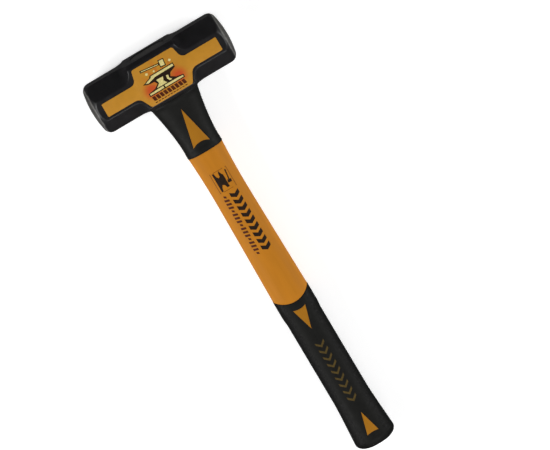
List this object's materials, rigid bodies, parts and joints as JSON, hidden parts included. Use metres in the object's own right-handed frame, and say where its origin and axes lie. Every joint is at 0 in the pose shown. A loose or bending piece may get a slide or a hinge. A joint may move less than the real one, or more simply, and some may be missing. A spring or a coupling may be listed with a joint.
{
  "type": "sledgehammer",
  "caption": "Short-handled sledgehammer with an octagonal double-faced forged head, a fibreglass-cored handle, an overstrike guard and a rubber grip.",
  "frame": {"origin": "centre of the back cheek, the flat face of the head that lies on the ground", "axes": "+X from the head down the handle to the butt, +Y along the head from one striking face to the other, +Z out of the labelled front cheek"},
  "size_m": [0.4064, 0.137, 0.0461],
  "materials": {
    "painted_forged_steel": "satin black lacquer on forged steel, ground bare on the striking faces",
    "fibreglass": "pultruded, fine glass strands along its length",
    "resin": "cast, slightly dished",
    "foam_rubber": "closed cell, matt",
    "yellow_plastic": "moulded, satin",
    "black_rubber": "moulded, fine grain",
    "yellow_inlay": "moulded, satin",
    "label_film": "printed film"
  },
  "bodies": {
    "root": {"head": "painted_forged_steel", "core_rod": "fibreglass", "eye_resin": "resin", "eye_dam": "foam_rubber", "shaft_jacket": "yellow_plastic", "overstrike_guard": "black_rubber", "grip_sleeve": "black_rubber", "guard_inlay_front": "yellow_inlay", "guard_inlay_back": "yellow_inlay", "grip_upper_inlay_front": "yellow_inlay", "grip_upper_inlay_back": "yellow_inlay", "grip_lower_inlay_front": "yellow_inlay", "grip_lower_inlay_back": "yellow_inlay", "cheek_label": "label_film"}
  },
  "joints": []
}
